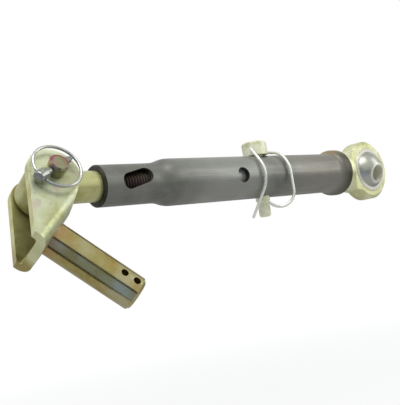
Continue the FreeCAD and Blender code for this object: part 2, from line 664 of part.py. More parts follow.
# The pivot pin: turned steel. Its head lies on the back ear and the linch pin crosses its other end.
def make_pivot_pin(turned_to_linch):
    body = new_body("pivot_pin")
    head = "(-yoke_width / 2 - pivot_head_height)"
    end = "(yoke_width / 2 + pivot_tail)"
    profile = outline(body, "PivotSection", "XZ_Plane", [
        ("0", head),
        ("pivot_head_dia / 2 - pivot_head_round", head, "pivot_head_round", 1),
        ("pivot_head_dia / 2", head + " + pivot_head_round"),
        ("pivot_head_dia / 2", "-yoke_width / 2"),
        ("pivot_dia / 2", "-yoke_width / 2"),
        ("pivot_dia / 2", end + " - pivot_chamfer"),
        ("pivot_dia / 2 - pivot_chamfer", end),
        ("0", end)])
    turned(body, "PivotTurned", profile, "V_Axis")
    hole = disc(body, "LinchCircle", "YZ_Plane", "0", "yoke_width / 2 + linch_seat",
                "linch_dia / 2 + linch_play")
    cut_through(body, "LinchHole", hole)
    body.Placement = turned_to_linch
    return body


# The linch pin: a short pin with a tapered point and a round head that the ring is hinged in.
def make_linch_pin(at_linch):
    body = new_body("linch_pin")
    back = "(-linch_head_place - linch_head_length / 2)"
    front = "(-linch_head_place + linch_head_length / 2)"
    profile = outline(body, "LinchSection", "XZ_Plane", [
        (back, "0"),
        (back, "linch_head_dia / 2 - linch_head_round", "linch_head_round", -1),
        (back + " + linch_head_round", "linch_head_dia / 2"),
        (front + " - linch_head_round", "linch_head_dia / 2", "linch_head_round", -1),
        (front, "linch_head_dia / 2 - linch_head_round"),
        (front, "linch_dia / 2"),
        ("linch_tip - linch_point", "linch_dia / 2"),
        ("linch_tip", "linch_dia / 4"),
        ("linch_tip", "0")])
    turned(body, "LinchTurned", profile, "H_Axis")
    hole = disc(body, "RingCircle", "XZ_Plane", "-linch_head_place", "0",
                "ring_wire / 2 + ring_play")
    cut_through(body, "RingHole", hole)
    body.Placement = at_linch
    return body


# The linch ring: a loop of spring wire, straight where it goes through the linch pin's head.
def make_linch_ring(at_linch):
    place, radius, small = size("linch_head_place"), size("ring_radius"), size("ring_bend")
    half = math.sqrt((radius - small) ** 2 - (place - small) ** 2)
    corner = V(-place + small, half, 0)
    meet = corner.normalize() * radius
    corner = V(-place + small, half, 0)
    middle = corner + ((V(-place, half, 0) - corner) + (meet - corner)).normalize() * small

    def mirrored(point):
        return V(point.x, -point.y, 0)

    path = [Part.LineSegment(V(-place, -half, 0), V(-place, half, 0)).toShape(),
            Part.Arc(V(-place, half, 0), middle, meet).toShape(),
            Part.Arc(meet, V(radius, 0, 0), mirrored(meet)).toShape(),
            Part.Arc(mirrored(meet), mirrored(middle), V(-place, -half, 0)).toShape()]
    ring = swept_wire("linch_ring", path, size("ring_wire"), closed=True)
    ring.Placement = at_linch
    return ring


def build():
    nothing = V(0, 0, 0)
    twist = FreeCAD.Placement(nothing, FreeCAD.Rotation(V(1, 0, 0), size("ball_angle")))
    roll = FreeCAD.Placement(V(measure(PIVOT), 0, 0),
                             FreeCAD.Rotation(V(1, 0, 0), 90 - size("rod_angle")))
    lean = roll.multiply(
        FreeCAD.Placement(nothing, FreeCAD.Rotation(V(0, 0, 1), -size("yoke_angle"))))
    to_linch = lean.multiply(
        FreeCAD.Placement(nothing, FreeCAD.Rotation(V(0, 0, 1), size("linch_angle"))))
    at_linch = to_linch.multiply(
        FreeCAD.Placement(V(0, 0, measure("yoke_width / 2 + linch_seat")), FreeCAD.Rotation()))
    ball = make_ball()
    ball.Placement = twist
    return [ball, make_race(), make_eye(), make_inner_tube(), make_outer_tube(),
            make_locking_pin(), make_bail(), make_rod(roll), make_yoke(lean), make_link_pin(lean),
            make_pivot_pin(to_linch), make_linch_pin(at_linch), make_linch_ring(at_linch)]


def check(pieces):
    doc.recompute()
    for item in doc.Objects:
        if "Invalid" in item.State or "Error" in item.State:
            raise RuntimeError("%s is not built: %s" % (item.Name, item.State))
    for piece in pieces:
        shape = piece.Shape
        if shape.isNull() or not shape.isValid() or not shape.Solids:
            raise RuntimeError("%s has no sound solid" % piece.Label)


def write(pieces):
    os.makedirs("parts", exist_ok=True)
    for piece in pieces:
        piece.Shape.exportStep("parts/%s.step" % piece.Label)
        box = piece.Shape.BoundBox
        print("%-14s solids %d  volume %9.1f  x %8.2f %8.2f  y %8.2f %8.2f  z %8.2f %8.2f" % (
            piece.Label, len(piece.Shape.Solids), piece.Shape.Volume,
            box.XMin, box.XMax, box.YMin, box.YMax, box.ZMin, box.ZMax))


pieces = build()
check(pieces)
write(pieces)
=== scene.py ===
import math

import bmesh
import bpy
from mathutils import Matrix, Vector


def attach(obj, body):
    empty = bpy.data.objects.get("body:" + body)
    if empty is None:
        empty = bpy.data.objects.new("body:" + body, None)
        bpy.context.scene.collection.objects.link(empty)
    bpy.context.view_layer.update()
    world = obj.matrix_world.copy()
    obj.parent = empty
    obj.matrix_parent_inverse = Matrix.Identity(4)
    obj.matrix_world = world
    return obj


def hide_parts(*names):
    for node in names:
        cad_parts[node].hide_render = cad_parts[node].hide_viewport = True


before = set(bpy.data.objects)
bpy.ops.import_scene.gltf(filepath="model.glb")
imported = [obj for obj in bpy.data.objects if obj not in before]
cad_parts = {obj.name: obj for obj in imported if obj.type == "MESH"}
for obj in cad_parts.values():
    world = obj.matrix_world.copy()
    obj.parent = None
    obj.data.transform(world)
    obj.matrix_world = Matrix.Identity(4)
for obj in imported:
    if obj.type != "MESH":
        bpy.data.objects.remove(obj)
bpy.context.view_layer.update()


# The view. The camera stands a little below the tube, in front of the yoke, and looks slightly up
# along the tube to the ball. The lens is that of a short telephoto.
def place_camera(name, spot, right, up, lens):
    camera = bpy.data.cameras.new(name)
    camera.sensor_fit = "HORIZONTAL"
    camera.sensor_width = 36
    camera.lens = lens
    camera.clip_start = 0.01
    holder = bpy.data.objects.new(name, camera)
    right, up = Vector(right).normalized(), Vector(up)
    up = (up - right * up.dot(right)).normalized()
    turn = Matrix((right, up, right.cross(up))).transposed()
    holder.matrix_world = Matrix.Translation(spot) @ turn.to_4x4()
    bpy.context.collection.objects.link(holder)
    bpy.context.scene.camera = holder


place_camera("bench_camera", spot=(-0.6929, -0.4801, -0.0750), right=(0.7491, -0.6433, -0.1582),
             up=(0.0644, -0.1669, 0.9839), lens=60.51)


# The room. The camera sees it white all round, the steel mirrors it a little less bright, and it
# gives an even, slightly cool light. The kind of ray tells the three apart.
def ray_share(nodes, links, kinds):
    path = nodes.new("ShaderNodeLightPath")
    share = path.outputs[kinds[0]]
    for kind in kinds[1:]:
        most = nodes.new("ShaderNodeMath")
        most.operation = "MAXIMUM"
        links.new(share, most.inputs[0])
        links.new(path.outputs[kind], most.inputs[1])
        share = most.outputs[0]
    return share


def white_room(name, mirrored, level):
    world = bpy.data.worlds.new(name)
    bpy.context.scene.world = world
    world.use_nodes = True
    nodes, links = world.node_tree.nodes, world.node_tree.links
    nodes.clear()
    light = nodes.new("ShaderNodeBackground")
    light.inputs["Color"].default_value = (0.97, 0.98, 1.0, 1)
    light.inputs["Strength"].default_value = level
    mirror = nodes.new("ShaderNodeBackground")
    mirror.inputs["Color"].default_value = (0.99, 1.0, 0.98, 1)
    mirror.inputs["Strength"].default_value = mirrored
    seen = nodes.new("ShaderNodeBackground")
    seen.inputs["Color"].default_value = (1, 1, 1, 1)
    seen.inputs["Strength"].default_value = 1
    first = nodes.new("ShaderNodeMixShader")
    second = nodes.new("ShaderNodeMixShader")
    out = nodes.new("ShaderNodeOutputWorld")
    links.new(ray_share(nodes, links, ["Is Glossy Ray"]), first.inputs[0])
    links.new(light.outputs[0], first.inputs[1])
    links.new(mirror.outputs[0], first.inputs[2])
    links.new(ray_share(nodes, links, ["Is Camera Ray", "Is Transmission Ray"]), second.inputs[0])
    links.new(first.outputs[0], second.inputs[1])
    links.new(seen.outputs[0], second.inputs[2])
    links.new(second.outputs[0], out.inputs["Surface"])


white_room("white_room", mirrored=0.85, level=0.42)


# The floor: a wide, pale matt sheet well below the part, which hangs in the air over it. For the
# camera it also glows, from near_lift at near to far_lift at far, in metres from the ball, so that
# it comes close to white and still shows a soft tone.
def pale_floor(name, level, half_size, near, far, near_lift, far_lift):
    mesh = bpy.data.meshes.new(name)
    mesh.from_pydata([(x * half_size, y * half_size, level) for x, y in
                      ((-1, -1), (1, -1), (1, 1), (-1, 1))], [], [(0, 1, 2, 3)])
    floor = bpy.data.objects.new(name, mesh)
    bpy.context.collection.objects.link(floor)
    material = bpy.data.materials.new(name)
    material.use_nodes = True
    nodes, links = material.node_tree.nodes, material.node_tree.links
    nodes.clear()
    matt = nodes.new("ShaderNodeBsdfDiffuse")
    matt.inputs["Color"].default_value = (0.8, 0.8, 0.8, 1)
    glow = nodes.new("ShaderNodeEmission")
    glow.inputs["Color"].default_value = (1, 1, 1, 1)
    place = nodes.new("ShaderNodeTexCoord")
    away = nodes.new("ShaderNodeVectorMath")
    away.operation = "LENGTH"
    lift = nodes.new("ShaderNodeMapRange")
    lift.inputs["From Min"].default_value = near
    lift.inputs["From Max"].default_value = far
    lift.inputs["To Min"].default_value = near_lift
    lift.inputs["To Max"].default_value = far_lift
    links.new(place.outputs["Object"], away.inputs[0])
    links.new(away.outputs["Value"], lift.inputs["Value"])
    strength = nodes.new("ShaderNodeMath")
    strength.operation = "MULTIPLY"
    links.new(lift.outputs["Result"], strength.inputs[1])
    both = nodes.new("ShaderNodeAddShader")
    out = nodes.new("ShaderNodeOutputMaterial")
    links.new(ray_share(nodes, links, ["Is Camera Ray"]), strength.inputs[0])
    links.new(strength.outputs[0], glow.inputs["Strength"])
    links.new(matt.outputs[0], both.inputs[0])
    links.new(glow.outputs[0], both.inputs[1])
    links.new(both.outputs[0], out.inputs["Surface"])
    mesh.materials.append(material)


pale_floor("pale_floor", level=-0.42, half_size=6.0, near=0.6, far=2.4, near_lift=0.43,
           far_lift=0.70)


# Two soft lamps: a broad one above and in front of the part, and a weaker one past the ball's end.
# Each is turned to face its target.
def soft_lamp(name, spot, target, size, power):
    lamp = bpy.data.lights.new(name, "AREA")
    lamp.shape = "RECTANGLE"
    lamp.size, lamp.size_y = size
    lamp.energy = power
    holder = bpy.data.objects.new(name, lamp)
    away = (Vector(spot) - Vector(target)).normalized()
    turn = away.to_track_quat("Z", "Y").to_matrix()
    holder.matrix_world = Matrix.Translation(spot) @ turn.to_4x4()
    bpy.context.collection.objects.link(holder)


soft_lamp("lamp_above", spot=(-0.55, -0.45, 1.1), target=(-0.2, 0, 0), size=(1.0, 0.8), power=9)
soft_lamp("lamp_right", spot=(0.75, -0.8, 0.45), target=(-0.1, 0, 0), size=(0.6, 0.9), power=3)


# Three curved screens in front of the link pin: near black at the top, blue-grey in the middle and
# near black below. Only reflections show them, as the dark bands on the round bars. They are bent
# round the axis that the link pin has at rest, from the angle first to last, in degrees.
def curved_screen(name, middle, along, towards, radius, half_length, first, last, shade):
    along, towards = Vector(along).normalized(), Vector(towards)
    towards = (towards - along * towards.dot(along)).normalized()
    rise = towards.cross(along)
    steps = 8
    corners, faces = [], []
    for number in range(steps + 1):
        angle = math.radians(first + (last - first) * number / steps)
        spoke = Vector(middle) + (towards * math.cos(angle) + rise * math.sin(angle)) * radius
        corners += [spoke - along * half_length, spoke + along * half_length]
    for number in range(steps):
        near = 2 * number
        faces.append((near, near + 1, near + 3, near + 2))
    mesh = bpy.data.meshes.new(name)
    mesh.from_pydata(corners, [], faces)
    screen = bpy.data.objects.new(name, mesh)
    bpy.context.collection.objects.link(screen)
    material = bpy.data.materials.new(name)
    material.use_nodes = True
    nodes, links = material.node_tree.nodes, material.node_tree.links
    nodes.clear()
    glow = nodes.new("ShaderNodeEmission")
    glow.inputs["Color"].default_value = (*shade, 1)
    out = nodes.new("ShaderNodeOutputMaterial")
    links.new(glow.outputs[0], out.inputs["Surface"])
    mesh.materials.append(material)
    screen.visible_camera = False
    screen.visible_diffuse = False
    screen.visible_shadow = False


for screen_name, first, last, shade in (("screen_top", 17, 5, (0.03, 0.035, 0.04)),
                                        ("screen_middle", 5, -48, (0.36, 0.46, 0.74)),
                                        ("screen_low", -48, -64, (0.05, 0.05, 0.05))):
    curved_screen(screen_name, middle=(-0.417, -0.034, -0.067),
                  along=(0.649448, -0.345221, -0.677531), towards=(-0.276, -0.446, -0.008),
                  radius=0.48, half_length=0.5, first=first, last=last, shade=shade)


# The ball: turned steel, chromed, with a bore for its bolt and a flat at each end of the bore. It
# was pressed into the race and turns freely there.
def steel(name, tones, metallic, roughness, cloud, grain, bump, spread=0.12,
          stain=(0.5, 0.5, 0.45), stain_size=9, stain_share=0.0):
    # A finish on the piece's own coordinates: clouds that run through the tones, darker stains, and
    # a fine grain that changes the roughness and the relief. The pairs are noise values.
    tones_from, tones_to = 0.32, 0.68
    stains_from, stains_to = 0.48, 0.66
    grain_from, grain_to = 0.25, 0.75
    smoothest, relief_depth = 0.03, 0.0004
    material = bpy.data.materials.new(name)
    material.use_nodes = True
    nodes, links = material.node_tree.nodes, material.node_tree.links
    face = nodes["Principled BSDF"]
    face.inputs["Metallic"].default_value = metallic
    place = nodes.new("ShaderNodeTexCoord")
    clouds = nodes.new("ShaderNodeTexNoise")
    clouds.inputs["Scale"].default_value = cloud
    clouds.inputs["Detail"].default_value = 4
    clouds.inputs["Roughness"].default_value = 0.6
    links.new(place.outputs["Object"], clouds.inputs["Vector"])
    ramp = nodes.new("ShaderNodeValToRGB")
    ramp.color_ramp.interpolation = "EASE"
    while len(ramp.color_ramp.elements) < len(tones):
        ramp.color_ramp.elements.new(0.5)
    for number, tone in enumerate(tones):
        stop = ramp.color_ramp.elements[number]
        stop.position = tones_from + (tones_to - tones_from) * number / (len(tones) - 1)
        stop.color = (*tone, 1)
    links.new(clouds.outputs["Fac"], ramp.inputs["Fac"])
    blots = nodes.new("ShaderNodeTexNoise")
    blots.inputs["Scale"].default_value = stain_size
    blots.inputs["Detail"].default_value = 5
    links.new(place.outputs["Object"], blots.inputs["Vector"])
    where = nodes.new("ShaderNodeMapRange")
    where.inputs["From Min"].default_value = stains_from
    where.inputs["From Max"].default_value = stains_to
    where.inputs["To Max"].default_value = stain_share
    links.new(blots.outputs["Fac"], where.inputs["Value"])
    soiled = nodes.new("ShaderNodeMix")
    soiled.data_type = "RGBA"
    soiled.blend_type = "MULTIPLY"
    soiled.inputs[7].default_value = (*stain, 1)
    links.new(where.outputs["Result"], soiled.inputs[0])
    links.new(ramp.outputs["Color"], soiled.inputs[6])
    links.new(soiled.outputs[2], face.inputs["Base Color"])
    stretch = nodes.new("ShaderNodeMapping")
    stretch.inputs["Scale"].default_value = grain
    links.new(place.outputs["Object"], stretch.inputs["Vector"])
    fine = nodes.new("ShaderNodeTexNoise")
    fine.inputs["Scale"].default_value = 1
    fine.inputs["Detail"].default_value = 3
    links.new(stretch.outputs["Vector"], fine.inputs["Vector"])
    worn = nodes.new("ShaderNodeMapRange")
    worn.inputs["From Min"].default_value = grain_from
    worn.inputs["From Max"].default_value = grain_to
    worn.inputs["To Min"].default_value = max(roughness - spread, smoothest)
    worn.inputs["To Max"].default_value = roughness + spread
    links.new(fine.outputs["Fac"], worn.inputs["Value"])
    links.new(worn.outputs["Result"], face.inputs["Roughness"])
    relief = nodes.new("ShaderNodeBump")
    relief.inputs["Strength"].default_value = bump
    relief.inputs["Distance"].default_value = relief_depth
    links.new(fine.outputs["Fac"], relief.inputs["Height"])
    links.new(relief.outputs["Normal"], face.inputs["Normal"])
    return material


def dress(node, body, finishes, choose=None, rounding=0.0):
    # A smooth-shaded copy of the solid's own mesh. Its sharp edges are kept, or rounded off where a
    # rounding in metres is given; choose picks the finish of a face from its centre and normal.
    same_spot, flat = 1e-6, math.radians(0.5)
    sharp, sharp_when_rounded = math.radians(32), math.radians(60)
    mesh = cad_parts[node].data.copy()
    mesh.name = node + "_finished"
    mesh.materials.clear()
    for finish in finishes:
        mesh.materials.append(finish)
    form = bmesh.new()
    form.from_mesh(mesh)
    bmesh.ops.remove_doubles(form, verts=form.verts, dist=same_spot)
    if rounding:
        bmesh.ops.dissolve_limit(form, angle_limit=flat, verts=form.verts, edges=form.edges)
        corners = [edge for edge in form.edges if len(edge.link_faces) == 2 and
                   edge.calc_face_angle(0) > sharp]
        bmesh.ops.bevel(form, geom=corners, offset=rounding, segments=2, profile=0.5,
                        affect="EDGES", clamp_overlap=True)
    for edge in form.edges:
        edge.smooth = (len(edge.link_faces) == 2 and
                       edge.calc_face_angle(0) < (sharp_when_rounded if rounding else sharp))
    form.normal_update()
    for face in form.faces:
        face.smooth = True
        face.material_index = choose(face.calc_center_median(), face.normal) if choose else 0
    form.to_mesh(mesh)
    form.free()
    for name in [item.name for item in mesh.attributes if item.name == "custom_normal"]:
        mesh.attributes.remove(mesh.attributes[name])
    piece = bpy.data.objects.new(node + "_finished", mesh)
    bpy.context.collection.objects.link(piece)
    if rounding:
        level = piece.modifiers.new("level_faces", "WEIGHTED_NORMAL")
        level.weight = 100
        level.keep_sharp = True
    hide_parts(node)
    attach(piece, body)
    return piece


# The flats round the bore's ends are painted paler than the chrome, as a painted highlight.
ball_lip_painted_highlight = steel("ball_lip_painted_highlight", [(0.66, 0.66, 0.60), (0.76, 0.76, 0.70)], 0.4, 0.34, cloud=40,
                 grain=(300, 300, 300), bump=0.01, spread=0.06)


def ball_face(centre, normal):
    # 0 is the sphere, 1 the bore, painted pale as painted light, and 2 the lip round the
    # bore's ends, painted bright as a painted highlight.
    bore_way, facing_in, lip_radius = Vector((0, -0.953, -0.302)), -0.5, 0.0125
    spoke = centre - bore_way * centre.dot(bore_way)
    if normal.dot(spoke.normalized()) < facing_in:
        return 1
    return 2 if spoke.length < lip_radius else 0


chrome = steel("ball_chrome", [(0.36, 0.37, 0.32), (0.45, 0.46, 0.41)], 0.95, 0.36, cloud=30,
               grain=(300, 300, 300), bump=0.01, spread=0.06, stain=(0.6, 0.6, 0.52), stain_size=50,
               stain_share=0.6)
# Painted light: the bore is painted pale, so that it looks lit where shade would fall inside it.
ball_bore = steel("ball_bore", [(0.66, 0.66, 0.52), (0.82, 0.82, 0.68)], 0.0, 0.55, cloud=60,
                  grain=(200, 200, 200), bump=0.05)
dress("ball", "ball", [chrome, ball_bore, ball_lip_painted_highlight], ball_face)

# The race: a turned steel ring, left bright. It is pressed into the eye, and its lips stand proud
# of the eye on both sides.
race_steel = steel("race_steel", [(0.54, 0.53, 0.46), (0.62, 0.61, 0.55)], 0.6, 0.36, cloud=40,
                   grain=(400, 400, 400), bump=0.02, spread=0.06)
dress("ball_race", "eye_end", [race_steel])

# The eye: a forged steel head in yellow zinc that holds the race. Its plug sits in the inner tube
# and is welded there.
eye_zinc = steel("eye_zinc", [(0.50, 0.51, 0.22), (0.66, 0.67, 0.36), (0.74, 0.76, 0.48),
                              (0.68, 0.61, 0.40)],
                 0.45, 0.38, cloud=38, grain=(420, 420, 420), bump=0.10, stain=(0.66, 0.6, 0.4),
                 stain_size=30, stain_share=0.7)
dress("ball_eye", "eye_end", [eye_zinc])

# The inner tube: drawn steel, painted paler than its own colour as painted light, so that it is not
# in shade where it shows through the side hole. It slides in the outer tube as far as its slot lets
# the locking pin go.
inner_steel_painted_light = steel("inner_steel_painted_light", [(0.30, 0.31, 0.28), (0.40, 0.41, 0.38)], 0.35, 0.4, cloud=18,
                    grain=(30, 800, 800), bump=0.05, stain=(0.5, 0.45, 0.38), stain_size=24,
                    stain_share=0.5)
dress("inner_tube", "eye_end", [inner_steel_painted_light])

# The outer tube: drawn steel tube in dull grey zinc, swaged down to the neck and upset at the other
# end. Its bore, its sawn ends and the end walls of its side hole are painted near black, as painted
# shade, and the top of its bell carries a painted reflection of the eye's yellow zinc.
def along(nodes, links, direction, start, full):
    # 0 up to start and 1 from full on, in metres along a direction of the piece at rest.
    place = nodes.new("ShaderNodeTexCoord")
    dot = nodes.new("ShaderNodeVectorMath")
    dot.operation = "DOT_PRODUCT"
    dot.inputs[1].default_value = direction
    rise = nodes.new("ShaderNodeMapRange")
    rise.interpolation_type = "SMOOTHSTEP"
    rise.inputs["From Min"].default_value = start
    rise.inputs["From Max"].default_value = full
    links.new(place.outputs["Object"], dot.inputs[0])
    links.new(dot.outputs["Value"], rise.inputs["Value"])
    return rise.outputs["Result"]


def round_axis(nodes, links, middle, axis, start, full):
    # 0 up to start and 1 from full on, in metres out from an axis of the piece at rest.
    place = nodes.new("ShaderNodeTexCoord")
    spoke = nodes.new("ShaderNodeVectorMath")
    spoke.operation = "SUBTRACT"
    spoke.inputs[1].default_value = middle
    arm = nodes.new("ShaderNodeVectorMath")
    arm.operation = "CROSS_PRODUCT"
    arm.inputs[1].default_value = axis
    length = nodes.new("ShaderNodeVectorMath")
    length.operation = "LENGTH"
    rise = nodes.new("ShaderNodeMapRange")
    rise.interpolation_type = "SMOOTHSTEP"
    rise.inputs["From Min"].default_value = start
    rise.inputs["From Max"].default_value = full
    links.new(place.outputs["Object"], spoke.inputs[0])
    links.new(spoke.outputs[0], arm.inputs[0])
    links.new(arm.outputs[0], length.inputs[0])
    links.new(length.outputs["Value"], rise.inputs["Value"])
    return rise.outputs["Result"]


def tinge(material, tone, share, *reaches):
    # Lays a tone over the finish where all the reaches, each as for along or round_axis, are 1.
    nodes, links = material.node_tree.nodes, material.node_tree.links
    face = nodes["Principled BSDF"]
    whole = nodes.new("ShaderNodeValue").outputs[0]
    whole.default_value = share
    for reach in reaches:
        both = nodes.new("ShaderNodeMath")
        both.operation = "MULTIPLY"
        links.new(whole, both.inputs[0])
        links.new((along if len(reach) == 3 else round_axis)(nodes, links, *reach), both.inputs[1])
        whole = both.outputs[0]
    coat = nodes.new("ShaderNodeMix")
    coat.data_type = "RGBA"
    coat.inputs[7].default_value = (*tone, 1)
    links.new(whole, coat.inputs[0])
    links.new(face.inputs["Base Color"].links[0].from_socket, coat.inputs[6])
    links.new(coat.outputs[2], face.inputs["Base Color"])


tube_steel = steel("tube_steel", [(0.135, 0.139, 0.120), (0.19, 0.195, 0.172), (0.26, 0.267, 0.24)],
                   0.5, 0.42, cloud=17, grain=(22, 520, 520), bump=0.12, stain=(0.62, 0.6, 0.52),
                   stain_size=26, stain_share=0.55)
# Painted shade: near black for the bore, the sawn ends and the side hole's end walls.
painted_shade_steel = steel("painted_shade_steel", [(0.022, 0.022, 0.014), (0.05, 0.048, 0.032)], 0.4, 0.5, cloud=60,
                   grain=(300, 300, 300), bump=0.1)
# A warmer right half and a paler middle; a painted reflection of the eye's yellow zinc on the
# bell's top, and painted shade on the bell's rim, darker on its lower side.
tinge(tube_steel, (0.28, 0.262, 0.225), 0.6, ((1, 0, 0), -0.165, -0.120))
tinge(tube_steel, (0.34, 0.345, 0.32), 0.6, ((1, 0, 0), -0.315, -0.255),
      ((-1, 0, 0), 0.165, 0.215))
tinge(tube_steel, (0.34, 0.25, 0.10), 0.8, ((1, 0, 0), -0.080, -0.066), ((0, 0.2, 1), 0.010, 0.023))
# Painted shade on the bell's rim, over its lower side.
tinge(tube_steel, (0.045, 0.042, 0.020), 0.92, ((1, 0, 0), -0.073, -0.0595),
      ((0, -0.2, -1), -0.025, -0.012))


def tube_face(centre, normal):
    # 0 is the outside and the window's own walls, and 1 the bore, the sawn ends and the side hole's
    # end walls, which are painted near black as painted shade.
    window_from, window_to, facing_in, facing_end = -0.380, -0.30, -0.2, 0.6
    out = Vector((0, centre.y, centre.z)).normalized()
    painted_shade_wall = abs(normal.x) > facing_end and not window_from < centre.x < window_to
    return 1 if normal.dot(out) < facing_in or painted_shade_wall else 0


dress("outer_tube", "tube", [tube_steel, painted_shade_steel], tube_face)

# The locking pin: turned steel in pale yellow zinc, with a thick head and a groove near its end. It
# is dropped through both tubes from above.
pin_zinc = steel("pin_zinc", [(0.78, 0.80, 0.52), (0.93, 0.94, 0.70), (0.97, 0.97, 0.84)],
                 0.15, 0.40, cloud=70, grain=(500, 500, 500), bump=0.08, stain=(0.6, 0.55, 0.35),
                 stain_size=90, stain_share=0.7)
dress("locking_pin", "tube", [pin_zinc])

# The bail: one bent spring wire through the pin's head. Its straight leg ends free, and its curled
# leg hooks in front of the pin's groove.
bright_wire = steel("bright_wire", [(0.80, 0.82, 0.72), (0.94, 0.96, 0.88)], 0.45, 0.28, cloud=60,
                    grain=(900, 900, 900), bump=0.03)
dress("wire_bail", "bail", [bright_wire])

# The adjusting rod: forged eye and turned shank in yellow zinc, dark with grease where its thread
# runs in the neck.
rod_zinc = steel("rod_zinc", [(0.40, 0.40, 0.14), (0.51, 0.51, 0.23), (0.58, 0.58, 0.33)],
                 0.5, 0.32, cloud=34, grain=(60, 300, 300), bump=0.02, spread=0.07,
                 stain=(0.72, 0.62, 0.3), stain_size=40, stain_share=0.8)


def threaded_bar(name, finish, sizes):
    # A closed bar along +X whose surface is a helix of trapezoid grooves, right-handed. The groove
    # runs out at the bar's start, and the bar's end is chamfered. The mesh has turn_steps rows to a
    # turn of the thread and round_steps points round the bar.
    turn_steps, round_steps, flank_slope, flank_start, same_spot = 10, 64, 3.2, -0.3, 1e-6
    tree = bpy.data.node_groups.new(name, "GeometryNodeTree")
    tree.interface.new_socket("Bar", in_out="OUTPUT", socket_type="NodeSocketGeometry")
    keys = {label: tree.interface.new_socket(label, in_out="INPUT",
                                             socket_type="NodeSocketFloat").identifier
            for label in sizes}
    nodes, links = tree.nodes, tree.links
    given = nodes.new("NodeGroupInput").outputs

    def work(operation, *values):
        node = nodes.new("ShaderNodeMath")
        node.operation = operation
        for socket, value in zip(node.inputs, values):
            if isinstance(value, (int, float)):
                socket.default_value = value
            else:
                links.new(value, socket)
        return node.outputs[0]

    rows = round((sizes["End"] - sizes["Start"]) / sizes["Pitch"] * turn_steps) + 3
    grid = nodes.new("GeometryNodeMeshGrid")
    grid.inputs["Size X"].default_value = rows - 1
    grid.inputs["Size Y"].default_value = 1
    grid.inputs["Vertices X"].default_value = rows
    grid.inputs["Vertices Y"].default_value = round_steps + 1
    place = nodes.new("GeometryNodeInputPosition")
    apart = nodes.new("ShaderNodeSeparateXYZ")
    links.new(place.outputs[0], apart.inputs[0])
    row = work("ADD", apart.outputs["X"], (rows - 1) / 2)
    share = work("ADD", apart.outputs["Y"], 0.5)
    # The first and the last row are drawn in to the axis, so that the bar has closed ends.
    kept = work("MULTIPLY", work("GREATER_THAN", row, 0.5), work("LESS_THAN", row, rows - 1.5))
    run = work("MINIMUM", work("MAXIMUM", work("DIVIDE", work("SUBTRACT", row, 1), rows - 3), 0), 1)
    x = work("ADD", given["Start"], work("MULTIPLY", run, work("SUBTRACT", given["End"],
                                                               given["Start"])))
    wave = work("PINGPONG", work("SUBTRACT", work("DIVIDE", x, given["Pitch"]), share), 0.5)
    flank = work("MULTIPLY_ADD", wave, flank_slope, flank_start)
    flank = work("MINIMUM", work("MAXIMUM", flank, 0), 1)
    turns = work("DIVIDE", work("SUBTRACT", x, given["Start"]), given["Pitch"])
    run_out = work("MINIMUM", turns, 1)
    cut = work("MULTIPLY", work("MULTIPLY", flank, run_out), given["Depth"])
    round_end = work("ADD", work("SUBTRACT", given["Radius"], given["Chamfer"]),
                     work("SUBTRACT", given["End"], x))
    skin = work("MINIMUM", work("SUBTRACT", given["Radius"], cut), round_end)
    reach = work("MULTIPLY", kept, skin)
    angle = work("MULTIPLY", share, math.tau)
    spot = nodes.new("ShaderNodeCombineXYZ")
    for axis, value in (("X", x), ("Y", work("MULTIPLY", reach, work("COSINE", angle))),
                        ("Z", work("MULTIPLY", reach, work("SINE", angle)))):
        links.new(value, spot.inputs[axis])
    bend = nodes.new("GeometryNodeSetPosition")
    links.new(grid.outputs["Mesh"], bend.inputs["Geometry"])
    links.new(spot.outputs[0], bend.inputs["Position"])
    weld = nodes.new("GeometryNodeMergeByDistance")
    weld.inputs["Distance"].default_value = same_spot
    outwards = nodes.new("GeometryNodeFlipFaces")
    real = nodes.new("GeometryNodeRealizeInstances")
    coat = nodes.new("GeometryNodeSetMaterial")
    coat.inputs["Material"].default_value = finish
    last = bend.outputs["Geometry"]
    for node in (weld, outwards, real, coat):
        links.new(last, node.inputs[0])
        last = node.outputs[0]
    links.new(last, nodes.new("NodeGroupOutput").inputs[0])
    bar = bpy.data.objects.new(name, bpy.data.meshes.new(name))
    bpy.context.collection.objects.link(bar)
    maker = bar.modifiers.new(name, "NODES")
    maker.node_group = tree
    for label, value in sizes.items():
        maker[keys[label]] = value
    made = bar.evaluated_get(bpy.context.evaluated_depsgraph_get())
    plain = bpy.data.meshes.new_from_object(made)
    bpy.data.objects.remove(bar)
    return plain


def cut_thread(piece, thread, start):
    # The smooth shank ends at start, and the threaded bar goes on from there in the same mesh. The
    # bar's end faces stay flat.
    flat_end = 0.999
    form = bmesh.new()
    form.from_mesh(piece.data)
    whole = form.verts[:] + form.edges[:] + form.faces[:]
    bmesh.ops.bisect_plane(form, geom=whole, plane_co=(start, 0, 0), plane_no=(1, 0, 0),
                           clear_outer=True)
    rim = [edge for edge in form.edges if edge.is_boundary]
    for face in bmesh.ops.contextual_create(form, geom=rim)["faces"]:
        face.smooth = False
    bmesh.ops.recalc_face_normals(form, faces=form.faces)
    before = len(form.faces)
    form.from_mesh(thread)
    form.faces.ensure_lookup_table()
    for face in form.faces[before:]:
        face.smooth = abs(face.normal.x) < flat_end
        face.material_index = 1
    form.to_mesh(piece.data)
    form.free()
    bpy.data.meshes.remove(thread)


thread_grease = steel("thread_grease", [(0.035, 0.024, 0.018), (0.07, 0.048, 0.036)], 0.6, 0.36,
                      cloud=60, grain=(300, 300, 300), bump=0.05)
rod = dress("adjuster_rod", "rod", [rod_zinc, thread_grease])
thread_sizes = {"Start": -0.376, "End": -0.3064, "Radius": 0.0135, "Pitch": 0.003,
                "Depth": 0.0016, "Chamfer": 0.002}
cut_thread(rod, threaded_bar("rod_thread", thread_grease, thread_sizes), thread_sizes["Start"])

